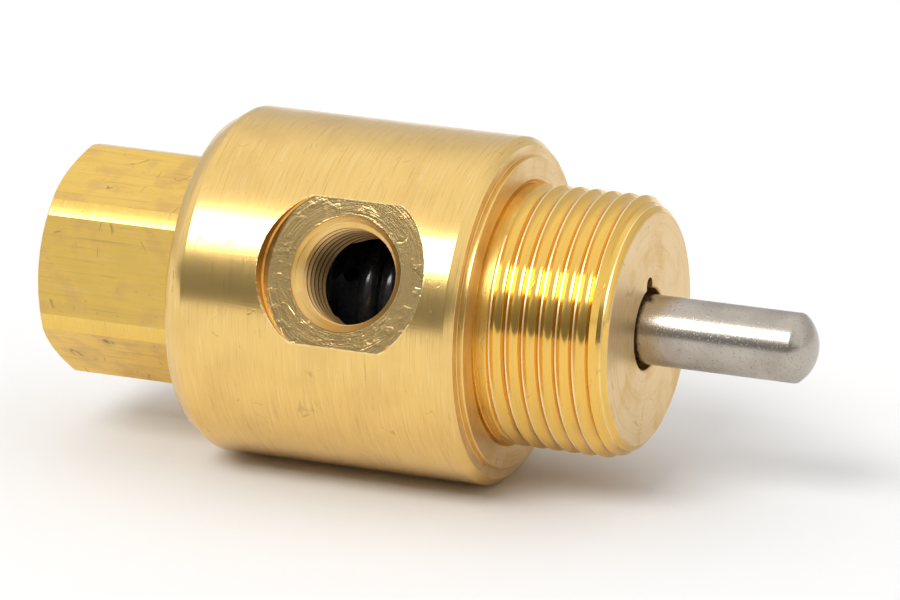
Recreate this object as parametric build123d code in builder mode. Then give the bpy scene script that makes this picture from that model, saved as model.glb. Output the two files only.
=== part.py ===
from build123d import *
import math
import os

os.makedirs("parts", exist_ok=True)

# Stem-operated three-way air valve, lying on its side, in millimetres.
# The valve axis runs along X, the pin points to +X, and +Z is up.
# Stations along the axis count from the front face of the body, positive towards the pin tip.

# body: turned from round bar, with a threaded neck
body_d = 31.75
body_length = 28.2
front_chamfer = (0.78, 0.65)      # axial, radial
rear_chamfer = (1.94, 1.2)
boss_height = 0.6
neck_d = 23.8125                  # 15/16-16 UN
boss_d = neck_d + 4.6875
neck_pitch = 1.5875
neck_length = 12.86
neck_relief_width = 1.05
neck_relief_depth = 0.97
neck_thread_depth = 0.5           # the groove bottoms are broad and flat
neck_chamfer = 1.4
seat_recess_depth = 0.25          # relief sunk into the front face, so that a panel lies flat
seat_recess_margin = 0.25         # how far the sunk relief reaches past the thread's crest
neck_last_groove = 0.1            # its middle, past the start of the chamfer
crest_share = 0.125               # crest land, as a share of the pitch
pipe_depth_share = 0.6134         # groove depth of the two pipe threads, as a share of the pitch
flank_slope = 0.57735             # half the groove's width for each unit of depth

# pin, spool and the bore that their seals stand in
pin_d = 6.35
spool_d = 9.525
stack_bore_d = 15.875

# openings in the body
pin_hole_d = pin_d + 1.15
pin_hole_notch_width = 1.4
pin_hole_notch_reach = pin_d / 2 + 1.675
front_wall = 2.26
front_chamber_d = stack_bore_d - 1.475
connector_thread_d = stack_bore_d + 1.025    # pitch diameter of 11/16-24 UNEF
connector_seal_bore_d = stack_bore_d + 2.525
connector_seal_bore_depth = 1.9

# side port: 1/8-27 NPT in a flat spotface
port_station = -11.14
port_lift = 25.0                  # degrees above the horizontal
port_minor_d = 8.7
port_pitch = 0.941
port_mouth_d = port_minor_d + 1.8
spotface_d = 16.0
spotface_depth = 1.475            # under the body's surface
spotface_plane = body_d / 2 - spotface_depth

# actuating pin
pin_length_out = 15.94            # straight and domed length beyond the neck face
pin_dome_height = 1.6
pin_tenon_d = 3.5
pin_tenon_length = 6.0
pin_tenon_spare = 0.5             # bottom of the spool's bore beyond the tenon
stroke = 4.0
clip_thickness = 0.7
clip_d = front_chamber_d - 2.4
clip_groove_d = pin_d - 1.0
clip_ring_width = 1.5
clip_lobe_width = 2.2
clip_lobe_overlap = 0.6
bumper_thickness = 1.0
bumper_bore_d = clip_d - 1.4

# spool and its seals
waist_d = 6.4
land_slope = 0.6                  # axial length of the cone between a land and the waist
land_chamfer = 0.3
seal_width = 3.6                  # squeezed width of each seal ring along the axis
gland_width = 3.74
seal_contact = 1.6                # width of the seal ring's line on the spool
seal_cover = 1.0                  # how far a land reaches past that line when it is shut
guide_counterbore_d = spool_d + 1.075
guide_chamfer = 0.3
guide_floor_gap = 0.4
guide_vent_d = 1.6
guide_vent_circle_d = pin_d + 2.35
guide_vent_count = 6
cage_length = 4.9
cage_waist_d = (spool_d + stack_bore_d) / 2 - 1.3
cage_rib_d = stack_bore_d - 2.475
cage_rib_width = 2.1
cage_flange = 1.0
cage_window_d = 1.5
cage_window_count = 6
seal_washer_thickness = 0.8
disc_spring_thickness = 0.35
disc_spring_height = 0.62
disc_spring_edge_gap = 0.05
land_overrun = 4.1                # rear land beyond the inlet seal's centre

# spring and its two seats
spring_wire_d = 0.7
spring_mean_d = 7.0
spring_length = 9.5
spring_turns = 5.0
cup_d = 8.6
cup_thickness = 0.6
spring_boss_d = 5.8
cup_boss_length = 1.6
cup_hole_d = 3.2
cup_tenon_spare = 0.9             # the spool's tail, riveted over behind the cup
seat_thickness = 0.8
seat_boss_length = 1.2
seat_hole_d = 4.2

# hex connector
hex_flats = 19.05
hex_length = 15.05
hex_land_d = hex_flats + 2.05
hex_end_d = hex_flats - 0.05
hex_turn = 12.77                  # degrees that the front flat looks above the horizontal
connector_bore_d = stack_bore_d - 3.075
connector_relief_d = stack_bore_d - 0.375
connector_nose_chamfer = 0.6
passage_d = 6.4
web_thickness = 2.0
inlet_minor_d = 11.1              # 1/4-18 NPT
inlet_pitch = 1.411
inlet_mouth_d = inlet_minor_d + 2.7
screen_pocket_d = inlet_minor_d - 0.4
screen_frame_width = 1.2
screen_frame_bore_d = inlet_minor_d - 2.7
screen_d = inlet_minor_d - 1.9
screen_thickness = 0.4
screen_hole = 0.55
screen_hole_pitch = 0.95
snap_ring_thickness = 0.7
snap_ring_d = inlet_minor_d + 0.6
snap_ring_bore_d = inlet_minor_d - 1.2
snap_ring_gap = 2.4
snap_ring_lug = 1.6
snap_ring_eye = 0.64
seal_corner_share = 0.45          # corner radius of a squeezed ring, as a share of its smaller side
groove_spare = 0.2                # how far a groove's cutter stands out of the metal

# clearances
running_gap = 0.025               # pin in its guide
seal_gap = 0.02                   # spool inside a seal ring
cage_gap = 0.08                   # spool inside the cages
seat_gap = 0.02                   # rings seated in a bore
face_gap = 0.02                   # a moving face that rests on a stop
thread_gap = 0.03                 # screwed joint, drawn at its pitch diameter

# stations worked out from the sizes above
front_wall_inner = neck_length - front_wall
clip_front = front_wall_inner - face_gap
clip_rear = clip_front - clip_thickness
bumper_front = clip_rear - stroke - face_gap
guide_front = bumper_front - bumper_thickness
cage_front = port_station + cage_length
cage_rear = port_station - cage_length
guide_rear = cage_front + gland_width
exhaust_seal_station = cage_front + gland_width / 2
inlet_seal_station = cage_rear - gland_width / 2
washer_front = cage_rear - gland_width
disc_spring_front = washer_front - seal_washer_thickness
connector_nose = disc_spring_front - disc_spring_height
front_land_rear = exhaust_seal_station + seal_contact / 2 + stroke - seal_contact - seal_cover
front_land_front = exhaust_seal_station + seal_contact / 2 + stroke + seal_cover
guide_floor = front_land_front + guide_floor_gap
rear_land_front = inlet_seal_station + seal_contact / 2 + seal_cover
rear_land_rear = inlet_seal_station - land_overrun
cup_rear = rear_land_rear - cup_thickness
seat_front = cup_rear - spring_length
seat_rear = seat_front - seat_thickness
screen_pocket_front = seat_rear - web_thickness
screen_frame_rear = screen_pocket_front - screen_frame_width
snap_ring_rear = screen_frame_rear - snap_ring_thickness
hex_rear = -body_length - hex_length
seal_bore_floor = -body_length + connector_seal_bore_depth

# the origin is under the middle of the overall length, on the surface the body lies on
tip_station = neck_length + pin_length_out
shoulder_x = -(tip_station + hex_rear) / 2
axis_height = body_d / 2
valve_axis = Axis((shoulder_x, 0, axis_height), (1, 0, 0))
profile_plane = Plane(origin=(shoulder_x, 0, axis_height), x_dir=(1, 0, 0), z_dir=(0, -1, 0))
cross_plane = Plane(origin=(shoulder_x, 0, axis_height), x_dir=(0, 1, 0), z_dir=(1, 0, 0))
lift = math.radians(port_lift)
port_origin = (shoulder_x + port_station, 0, axis_height)
port_direction = (0, -math.cos(lift), math.sin(lift))
port_axis = Axis(port_origin, port_direction)
port_profile_plane = Plane(
    origin=port_origin, x_dir=port_direction, z_dir=(0, math.sin(lift), math.cos(lift))
)
spotface_seat = Plane(origin=port_origin, x_dir=(1, 0, 0), z_dir=port_direction).offset(spotface_plane)


def groove_outline(pitch, crest_radius, depth, sign):
    """Corners of one thread groove about station 0. The sign is -1 on a shaft and 1 in a hole."""
    mouth = pitch * (1 - crest_share) / 2
    floor = mouth - depth * flank_slope
    outside = crest_radius - sign * groove_spare
    return [
        (-mouth - groove_spare * flank_slope, outside),
        (mouth + groove_spare * flank_slope, outside),
        (floor, crest_radius + sign * depth),
        (-floor, crest_radius + sign * depth),
    ]


# ---- body ----
body_r = body_d / 2
neck_r = neck_d / 2
neck_relief_r = neck_r - neck_relief_depth
neck_thread_start = boss_height + neck_relief_width
neck_first_crest = neck_thread_start + neck_relief_depth * flank_slope
neck_groove_end = neck_length - neck_chamfer + neck_last_groove
neck_groove_count = int((neck_groove_end - neck_first_crest) / neck_pitch) + 1
port_mouth_depth = (port_mouth_d - port_minor_d) / 2
port_thread_depth = pipe_depth_share * port_pitch
port_groove_count = int((spotface_plane - port_mouth_depth - stack_bore_d / 2) / port_pitch) - 1

with BuildPart() as body:
    with BuildSketch(profile_plane):
        with BuildLine():
            Polyline(
                (-body_length, 0),
                (-body_length, body_r - rear_chamfer[1]),
                (-body_length + rear_chamfer[0], body_r),
                (-front_chamfer[0], body_r),
                (0, body_r - front_chamfer[1]),
                (0, boss_d / 2),
                (boss_height, boss_d / 2),
                (boss_height, neck_r + seat_recess_margin),
                (boss_height - seat_recess_depth, neck_relief_r),
                (neck_thread_start, neck_relief_r),
                (neck_first_crest, neck_r),
                (neck_length - neck_chamfer, neck_r),
                (neck_length, neck_r - neck_chamfer),
                (neck_length, 0),
                close=True,
            )
        make_face()
    revolve(axis=valve_axis)
    # neck thread, as ring grooves at the real pitch
    with BuildSketch(profile_plane):
        for turn in range(neck_groove_count):
            with Locations((neck_groove_end - neck_pitch * turn, 0)):
                Polygon(*groove_outline(neck_pitch, neck_r, neck_thread_depth, -1), align=None)
    revolve(axis=valve_axis, mode=Mode.SUBTRACT)
    # pin hole, front chamber, bore for the seal stack, connector thread and its seal bore
    with BuildSketch(profile_plane):
        with BuildLine():
            Polyline(
                (neck_length, 0),
                (neck_length, pin_hole_d / 2),
                (front_wall_inner, pin_hole_d / 2),
                (front_wall_inner, front_chamber_d / 2),
                (guide_front, front_chamber_d / 2),
                (guide_front, stack_bore_d / 2),
                (connector_nose + thread_gap, stack_bore_d / 2),
                (connector_nose + thread_gap, connector_thread_d / 2),
                (seal_bore_floor, connector_thread_d / 2),
                (seal_bore_floor, connector_seal_bore_d / 2),
                (-body_length, connector_seal_bore_d / 2),
                (-body_length, 0),
                close=True,
            )
        make_face()
    revolve(axis=valve_axis, mode=Mode.SUBTRACT)
    # vent notch above the pin
    with BuildSketch(cross_plane.offset(front_wall_inner)):
        with Locations((0, pin_hole_notch_reach / 2)):
            Rectangle(pin_hole_notch_width, pin_hole_notch_reach)
    extrude(amount=front_wall, mode=Mode.SUBTRACT)
    # spotface, side port and its ring-grooved thread
    with BuildSketch(spotface_seat):
        Circle(spotface_d / 2)
    extrude(amount=body_r - spotface_plane, mode=Mode.SUBTRACT)
    with BuildSketch(port_profile_plane):
        with BuildLine():
            Polyline(
                (0, 0),
                (0, port_minor_d / 2),
                (spotface_plane - port_mouth_depth, port_minor_d / 2),
                (spotface_plane, port_mouth_d / 2),
                (spotface_plane, 0),
                close=True,
            )
        make_face()
    revolve(axis=port_axis, mode=Mode.SUBTRACT)
    with BuildSketch(port_profile_plane):
        for turn in range(port_groove_count):
            with Locations((spotface_plane - port_mouth_depth - port_pitch * (turn + 0.5), 0)):
                Polygon(*groove_outline(port_pitch, port_minor_d / 2, port_thread_depth, 1), align=None)
    revolve(axis=port_axis, mode=Mode.SUBTRACT)
body.part.label = "body"
export_step(body.part, "parts/body.step")


# ---- plunger_pin ----
pin_r = pin_d / 2
tenon_rear = front_land_front - pin_tenon_length
dome_r = (pin_r**2 + pin_dome_height**2) / (2 * pin_dome_height)
dome_angle = math.asin(pin_r / dome_r) / 2
dome_centre = tip_station - dome_r

with BuildPart() as plunger_pin:
    with BuildSketch(profile_plane):
        with BuildLine():
            Polyline(
                (tip_station, 0),
                (tenon_rear, 0),
                (tenon_rear, pin_tenon_d / 2),
                (front_land_front, pin_tenon_d / 2),
                (front_land_front, pin_r),
                (clip_rear - face_gap, pin_r),
                (clip_rear - face_gap, clip_groove_d / 2),
                (clip_front + face_gap, clip_groove_d / 2),
                (clip_front + face_gap, pin_r),
                (tip_station - pin_dome_height, pin_r),
            )
            ThreePointArc(
                (tip_station - pin_dome_height, pin_r),
                (dome_centre + dome_r * math.cos(dome_angle), dome_r * math.sin(dome_angle)),
                (tip_station, 0),
            )
        make_face()
    revolve(axis=valve_axis)
plunger_pin.part.label = "plunger_pin"
export_step(plunger_pin.part, "parts/plunger_pin.step")


# ---- pin_clip: an E-clip in the pin's groove ----
clip_ring_bore_r = clip_d / 2 - clip_ring_width
clip_lobe_length = clip_ring_bore_r - clip_groove_d / 2 + clip_lobe_overlap

with BuildPart() as pin_clip:
    with BuildSketch(cross_plane.offset(clip_rear)):
        Circle(clip_d / 2)
        Circle(clip_ring_bore_r, mode=Mode.SUBTRACT)
        with PolarLocations(clip_groove_d / 2 + clip_lobe_length / 2, 3, start_angle=90):
            Rectangle(clip_lobe_length, clip_lobe_width)
        with Locations((0, -clip_d / 2)):
            Rectangle(clip_groove_d, clip_d, mode=Mode.SUBTRACT)
        Circle(clip_groove_d / 2 + seat_gap, mode=Mode.SUBTRACT)
    extrude(amount=clip_thickness)
pin_clip.part.label = "pin_clip"
export_step(pin_clip.part, "parts/pin_clip.step")


# ---- stroke_bumper: rubber ring that the clip lands on at full stroke ----
with BuildPart() as stroke_bumper:
    with BuildSketch(cross_plane.offset(guide_front)):
        Circle(front_chamber_d / 2 - seat_gap)
        Circle(bumper_bore_d / 2, mode=Mode.SUBTRACT)
    extrude(amount=bumper_thickness)
stroke_bumper.part.label = "stroke_bumper"
export_step(stroke_bumper.part, "parts/stroke_bumper.step")


# ---- pin_guide: bronze bush with vent holes round the pin ----
stack_r = stack_bore_d / 2 - seat_gap

with BuildPart() as pin_guide:
    with BuildSketch(profile_plane):
        with BuildLine():
            Polyline(
                (guide_front, pin_r + running_gap),
                (guide_front, stack_r - guide_chamfer),
                (guide_front - guide_chamfer, stack_r),
                (guide_rear, stack_r),
                (guide_rear, guide_counterbore_d / 2),
                (guide_floor, guide_counterbore_d / 2),
                (guide_floor, pin_r + running_gap),
                close=True,
            )
        make_face()
    revolve(axis=valve_axis)
    with BuildSketch(cross_plane.offset(guide_floor)):
        with PolarLocations(guide_vent_circle_d / 2, guide_vent_count):
            Circle(guide_vent_d / 2)
    extrude(amount=guide_front - guide_floor, mode=Mode.SUBTRACT)
pin_guide.part.label = "pin_guide"
export_step(pin_guide.part, "parts/pin_guide.step")


# ---- spool ----
land_r = spool_d / 2
waist_r = waist_d / 2
tenon_bore_r = pin_tenon_d / 2 + seat_gap
tenon_bore_end = tenon_rear - pin_tenon_spare
cup_tenon_r = cup_hole_d / 2 - seat_gap
cup_tenon_rear = cup_rear - cup_tenon_spare

with BuildPart() as spool:
    with BuildSketch(profile_plane):
        with BuildLine():
            Polyline(
                (front_land_front, tenon_bore_r),
                (front_land_front, land_r - land_chamfer),
                (front_land_front - land_chamfer, land_r),
                (front_land_rear, land_r),
                (front_land_rear - land_slope, waist_r),
                (rear_land_front + land_slope, waist_r),
                (rear_land_front, land_r),
                (rear_land_rear, land_r),
                (rear_land_rear, cup_tenon_r),
                (cup_tenon_rear, cup_tenon_r),
                (cup_tenon_rear, 0),
                (tenon_bore_end, 0),
                (tenon_bore_end, tenon_bore_r),
                close=True,
            )
        make_face()
    revolve(axis=valve_axis)
spool.part.label = "spool"
export_step(spool.part, "parts/spool.step")


# ---- exhaust_seal and inlet_seal: the two rubber rings that the spool slides in ----
seal_inner_r = land_r + seal_gap
seal_height = stack_r - seal_inner_r
seal_middle_r = (stack_r + seal_inner_r) / 2
seal_corner_r = seal_corner_share * min(seal_height, seal_width)

with BuildPart() as exhaust_seal:
    with BuildSketch(profile_plane):
        with Locations((exhaust_seal_station, seal_middle_r)):
            RectangleRounded(seal_width, seal_height, seal_corner_r)
    revolve(axis=valve_axis)
exhaust_seal.part.label = "exhaust_seal"
export_step(exhaust_seal.part, "parts/exhaust_seal.step")

with BuildPart() as inlet_seal:
    with BuildSketch(profile_plane):
        with Locations((inlet_seal_station, seal_middle_r)):
            RectangleRounded(seal_width, seal_height, seal_corner_r)
    revolve(axis=valve_axis)
inlet_seal.part.label = "inlet_seal"
export_step(inlet_seal.part, "parts/inlet_seal.step")


# ---- front_cage and rear_cage: black spacers, face to face under the side port ----
cage_bore_r = land_r + cage_gap
cage_waist_r = cage_waist_d / 2
cage_window_plane = cross_plane.offset(port_station + (cage_rib_width + cage_length - cage_flange) / 2)
cage_window_length = 2 * cage_waist_r - cage_bore_r

with BuildPart() as front_cage:
    with BuildSketch(profile_plane.shift_origin(port_profile_plane.origin)):
        with BuildLine():
            Polyline(
                (0, cage_waist_r),
                (0, cage_bore_r),
                (cage_length, cage_bore_r),
                (cage_length, stack_r),
                (cage_length - cage_flange, stack_r),
                (cage_length - cage_flange, cage_waist_r),
                (cage_rib_width, cage_waist_r),
            )
            ThreePointArc(
                (cage_rib_width, cage_waist_r),
                (cage_rib_width / 2, cage_rib_d / 2),
                (0, cage_waist_r),
            )
        make_face()
    revolve(axis=valve_axis)
    with Locations(cage_window_plane):
        with PolarLocations(cage_waist_r, cage_window_count, start_angle=port_lift):
            Cylinder(cage_window_d / 2, cage_window_length, rotation=(0, 90, 0), mode=Mode.SUBTRACT)
front_cage.part.label = "front_cage"
export_step(front_cage.part, "parts/front_cage.step")

with BuildPart() as rear_cage:
    mirror(front_cage.part, about=cross_plane.offset(port_station))
rear_cage.part.label = "rear_cage"
export_step(rear_cage.part, "parts/rear_cage.step")


# ---- seal_washer: backs the inlet seal ----
with BuildPart() as seal_washer:
    with BuildSketch(cross_plane.offset(disc_spring_front)):
        Circle(stack_r)
        Circle(guide_counterbore_d / 2, mode=Mode.SUBTRACT)
    extrude(amount=seal_washer_thickness)
seal_washer.part.label = "seal_washer"
export_step(seal_washer.part, "parts/seal_washer.step")


# ---- disc_spring: keeps the stack tight ----
disc_spring_bore_r = connector_bore_d / 2 + disc_spring_edge_gap
disc_spring_r = stack_r - disc_spring_edge_gap
disc_spring_rise = disc_spring_height - disc_spring_thickness

with BuildPart() as disc_spring:
    with BuildSketch(profile_plane):
        with BuildLine():
            Polyline(
                (disc_spring_front, disc_spring_r),
                (disc_spring_front - disc_spring_thickness, disc_spring_r),
                (connector_nose, disc_spring_bore_r),
                (disc_spring_front - disc_spring_rise, disc_spring_bore_r),
                close=True,
            )
        make_face()
    revolve(axis=valve_axis)
disc_spring.part.label = "disc_spring"
export_step(disc_spring.part, "parts/disc_spring.step")


# ---- spring_cup: flanged cup on the spool's tail ----
with BuildPart() as spring_cup:
    with BuildSketch(profile_plane):
        with BuildLine():
            Polyline(
                (rear_land_rear, cup_hole_d / 2),
                (rear_land_rear, cup_d / 2),
                (cup_rear, cup_d / 2),
                (cup_rear, spring_boss_d / 2),
                (cup_rear - cup_boss_length, spring_boss_d / 2),
                (cup_rear - cup_boss_length, cup_hole_d / 2),
                close=True,
            )
        make_face()
    revolve(axis=valve_axis)
spring_cup.part.label = "spring_cup"
export_step(spring_cup.part, "parts/spring_cup.step")


# ---- return_spring ----
spring_path_length = spring_length - spring_wire_d - 2 * face_gap
spring_start = (shoulder_x + cup_rear - face_gap - spring_wire_d / 2, 0, axis_height)

with BuildPart() as return_spring:
    with BuildLine() as coil:
        Helix(
            pitch=spring_path_length / spring_turns,
            height=spring_path_length,
            radius=spring_mean_d / 2,
            center=spring_start,
            direction=(-1, 0, 0),
        )
    with BuildSketch(Plane(origin=coil.line @ 0, z_dir=coil.line % 0)):
        Circle(spring_wire_d / 2)
    sweep(path=coil.line, is_frenet=True)
return_spring.part.label = "return_spring"
export_step(return_spring.part, "parts/return_spring.step")


# ---- spring_seat: flanged ring on the connector's inner shoulder ----
with BuildPart() as spring_seat:
    with BuildSketch(profile_plane):
        with BuildLine():
            Polyline(
                (seat_rear, seat_hole_d / 2),
                (seat_rear, connector_bore_d / 2 - seat_gap),
                (seat_front, connector_bore_d / 2 - seat_gap),
                (seat_front, spring_boss_d / 2),
                (seat_front + seat_boss_length, spring_boss_d / 2),
                (seat_front + seat_boss_length, seat_hole_d / 2),
                close=True,
            )
        make_face()
    revolve(axis=valve_axis)
spring_seat.part.label = "spring_seat"
export_step(spring_seat.part, "parts/spring_seat.step")


# ---- connector: hex bar with the screwed spigot ahead and the inlet port behind ----
land_hex_r = hex_land_d / 2
hex_end_chamfer = (hex_land_d - hex_end_d) / 2 * flank_slope
spigot_r = connector_thread_d / 2 - thread_gap
inlet_mouth_depth = (inlet_mouth_d - inlet_minor_d) / 2
inlet_thread_depth = pipe_depth_share * inlet_pitch
inlet_groove_start = hex_rear + inlet_mouth_depth
inlet_groove_count = int((snap_ring_rear - inlet_groove_start) / inlet_pitch)

with BuildPart() as connector:
    with BuildSketch(cross_plane.offset(-body_length)):
        RegularPolygon(hex_flats / 2, 6, major_radius=False, rotation=30 - hex_turn)
    extrude(amount=-hex_length)
    with BuildSketch(profile_plane):
        with BuildLine():
            Polyline(
                (-body_length, 0),
                (-body_length, land_hex_r),
                (hex_rear + hex_end_chamfer, land_hex_r),
                (hex_rear, hex_end_d / 2),
                (hex_rear, 0),
                close=True,
            )
        make_face()
    revolve(axis=valve_axis, mode=Mode.INTERSECT)
    with BuildSketch(profile_plane):
        with BuildLine():
            Polyline(
                (-body_length, 0),
                (-body_length, connector_relief_d / 2),
                (seal_bore_floor, connector_relief_d / 2),
                (seal_bore_floor, spigot_r),
                (connector_nose - connector_nose_chamfer, spigot_r),
                (connector_nose, spigot_r - connector_nose_chamfer),
                (connector_nose, 0),
                close=True,
            )
        make_face()
    revolve(axis=valve_axis)
    with BuildSketch(profile_plane):
        with BuildLine():
            Polyline(
                (connector_nose, 0),
                (connector_nose, connector_bore_d / 2),
                (seat_rear, connector_bore_d / 2),
                (seat_rear, passage_d / 2),
                (screen_pocket_front, passage_d / 2),
                (screen_pocket_front, screen_pocket_d / 2),
                (screen_frame_rear + face_gap, screen_pocket_d / 2),
                (screen_frame_rear + face_gap, snap_ring_d / 2 + seat_gap),
                (snap_ring_rear - face_gap, snap_ring_d / 2 + seat_gap),
                (snap_ring_rear - face_gap, inlet_minor_d / 2),
                (inlet_groove_start, inlet_minor_d / 2),
                (hex_rear, inlet_mouth_d / 2),
                (hex_rear, 0),
                close=True,
            )
        make_face()
    revolve(axis=valve_axis, mode=Mode.SUBTRACT)
    with BuildSketch(profile_plane):
        for turn in range(inlet_groove_count):
            with Locations((inlet_groove_start + inlet_pitch * (turn + 0.5), 0)):
                Polygon(*groove_outline(inlet_pitch, inlet_minor_d / 2, inlet_thread_depth, 1), align=None)
    revolve(axis=valve_axis, mode=Mode.SUBTRACT)
connector.part.label = "connector"
export_step(connector.part, "parts/connector.step")


# ---- connector_seal: ring in the counterbore behind the connector thread ----
connector_seal_station = seal_bore_floor - connector_seal_bore_depth / 2
connector_seal_middle_r = (connector_seal_bore_d + connector_relief_d) / 4
connector_seal_height = (connector_seal_bore_d - connector_relief_d) / 2 - 2 * seat_gap
connector_seal_width = connector_seal_bore_depth - 2 * seat_gap
connector_seal_corner_r = seal_corner_share * min(connector_seal_height, connector_seal_width)

with BuildPart() as connector_seal:
    with BuildSketch(profile_plane):
        with Locations((connector_seal_station, connector_seal_middle_r)):
            RectangleRounded(connector_seal_width, connector_seal_height, connector_seal_corner_r)
    revolve(axis=valve_axis)
connector_seal.part.label = "connector_seal"
export_step(connector_seal.part, "parts/connector_seal.step")


# ---- screen_frame and inlet_screen ----
screen_station = screen_pocket_front - screen_frame_width / 2

with BuildPart() as screen_frame:
    with BuildSketch(profile_plane):
        with Locations((screen_station, (screen_pocket_d + screen_frame_bore_d) / 4)):
            Rectangle(screen_frame_width, (screen_pocket_d - screen_frame_bore_d) / 2 - seat_gap)
        with Locations((screen_station, screen_frame_bore_d / 4 + screen_d / 4)):
            Rectangle(
                screen_thickness, (screen_d - screen_frame_bore_d) / 2 + 2 * seat_gap, mode=Mode.SUBTRACT
            )
    revolve(axis=valve_axis)
screen_frame.part.label = "screen_frame"
export_step(screen_frame.part, "parts/screen_frame.step")

mesh_steps = int(screen_d / 2 / screen_hole_pitch)
mesh_holes = [
    (screen_hole_pitch * i, screen_hole_pitch * j)
    for i in range(-mesh_steps, mesh_steps + 1)
    for j in range(-mesh_steps, mesh_steps + 1)
    if screen_hole_pitch * math.hypot(i, j) < screen_frame_bore_d / 2 - screen_hole
]

with BuildPart() as inlet_screen:
    with BuildSketch(cross_plane.offset(screen_station - screen_thickness / 2)):
        Circle(screen_d / 2)
        with Locations(*mesh_holes):
            Rectangle(screen_hole, screen_hole, mode=Mode.SUBTRACT)
    extrude(amount=screen_thickness)
inlet_screen.part.label = "inlet_screen"
export_step(inlet_screen.part, "parts/inlet_screen.step")


# ---- screen_snap_ring: internal ring with two lugs ----
lug_circle_r = snap_ring_bore_d / 2
lug_angle = (snap_ring_gap + snap_ring_lug) / 2 / lug_circle_r
lug_places = [
    (side * lug_circle_r * math.sin(lug_angle), -lug_circle_r * math.cos(lug_angle))
    for side in (-1, 1)
]

with BuildPart() as screen_snap_ring:
    with BuildSketch(cross_plane.offset(snap_ring_rear)):
        Circle(snap_ring_d / 2)
        Circle(snap_ring_bore_d / 2, mode=Mode.SUBTRACT)
        with Locations((0, -snap_ring_d / 2)):
            Rectangle(snap_ring_gap, snap_ring_d / 2, mode=Mode.SUBTRACT)
        with Locations(*lug_places):
            Circle(snap_ring_lug / 2)
            Circle(snap_ring_eye / 2, mode=Mode.SUBTRACT)
    extrude(amount=snap_ring_thickness)
screen_snap_ring.part.label = "screen_snap_ring"
export_step(screen_snap_ring.part, "parts/screen_snap_ring.step")
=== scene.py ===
import math
import bpy
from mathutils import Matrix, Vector


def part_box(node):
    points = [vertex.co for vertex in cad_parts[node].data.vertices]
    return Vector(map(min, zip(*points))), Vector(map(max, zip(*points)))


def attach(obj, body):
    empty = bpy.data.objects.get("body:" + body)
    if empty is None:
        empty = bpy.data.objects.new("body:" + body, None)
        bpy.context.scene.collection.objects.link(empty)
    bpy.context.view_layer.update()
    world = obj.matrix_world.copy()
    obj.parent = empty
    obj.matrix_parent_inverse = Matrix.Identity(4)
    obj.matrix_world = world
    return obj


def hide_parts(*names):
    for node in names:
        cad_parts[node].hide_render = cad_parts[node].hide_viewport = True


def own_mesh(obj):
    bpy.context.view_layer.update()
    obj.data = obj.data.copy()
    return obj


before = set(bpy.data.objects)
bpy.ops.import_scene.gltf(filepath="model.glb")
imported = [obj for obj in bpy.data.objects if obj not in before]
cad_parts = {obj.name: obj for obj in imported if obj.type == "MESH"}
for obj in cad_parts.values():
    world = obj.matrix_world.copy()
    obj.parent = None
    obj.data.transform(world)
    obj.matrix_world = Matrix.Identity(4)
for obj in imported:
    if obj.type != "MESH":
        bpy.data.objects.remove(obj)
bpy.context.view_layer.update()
mm = 0.001

# places read from the frame
bodyLow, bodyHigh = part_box("body")
hexLow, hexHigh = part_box("connector")
pinLow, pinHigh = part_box("plunger_pin")
bodyRadius = (bodyHigh.z - bodyLow.z) / 2
axisZ = (bodyHigh.z + bodyLow.z) / 2
rearFaceX = bodyLow.x
bodyDepth = 28.2  # mm, rear face to front face
shoulderX = rearFaceX + bodyDepth * mm  # front face of the body
hexRearX = hexLow.x
pinTipX = pinHigh.x


def onAxis(station, radius=0.0, lift=0.0):
    # station from the front face in mm, radius in mm, lift in degrees above the front horizontal
    turn = math.radians(lift)
    return Vector((
        shoulderX + station * mm,
        -radius * mm * math.cos(turn),
        axisZ + radius * mm * math.sin(turn),
    ))


# camera
view = {"side": 22.37, "rise": 18.15, "distance": 641.6, "lens": 283.27, "aimStation": -6.45, "aimRise": 0.33}


def placeCamera():
    side, rise = math.radians(view["side"]), math.radians(view["rise"])
    back = Vector((math.sin(side) * math.cos(rise), -math.cos(side) * math.cos(rise), math.sin(rise)))
    aim = onAxis(view["aimStation"]) + Vector((0, 0, view["aimRise"] * mm))
    bpy.ops.object.camera_add(location=aim + back * view["distance"] * mm)
    camera = bpy.context.object
    camera.name = "camera"
    camera.rotation_euler = back.to_track_quat("Z", "Y").to_euler()
    camera.data.sensor_width = 36
    camera.data.lens = view["lens"]
    camera.data.clip_start = 0.01
    camera.data.clip_end = 20
    bpy.context.scene.camera = camera


placeCamera()
print("camera placed")


# modelling steps
def clearSelection():
    if bpy.context.object and bpy.context.object.mode != "OBJECT":
        bpy.ops.object.mode_set(mode="OBJECT")
    bpy.ops.object.select_all(action="DESELECT")


def pick(piece):
    clearSelection()
    piece.select_set(True)
    bpy.context.view_layer.objects.active = piece


def applyPlace(piece):
    pick(piece)
    bpy.ops.object.transform_apply(location=True, rotation=True, scale=True)


def applyModifier(piece, kind, **settings):
    pick(piece)
    modifier = piece.modifiers.new(kind.lower(), kind)
    for key, value in settings.items():
        setattr(modifier, key, value)
    bpy.ops.object.modifier_apply(modifier=modifier.name)


def tidyMesh(piece, gap=0.0005 * mm):
    pick(piece)
    bpy.ops.object.mode_set(mode="EDIT")
    bpy.ops.mesh.select_all(action="SELECT")
    bpy.ops.mesh.remove_doubles(threshold=gap)
    bpy.ops.mesh.normals_make_consistent(inside=False)
    bpy.ops.object.mode_set(mode="OBJECT")


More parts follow.
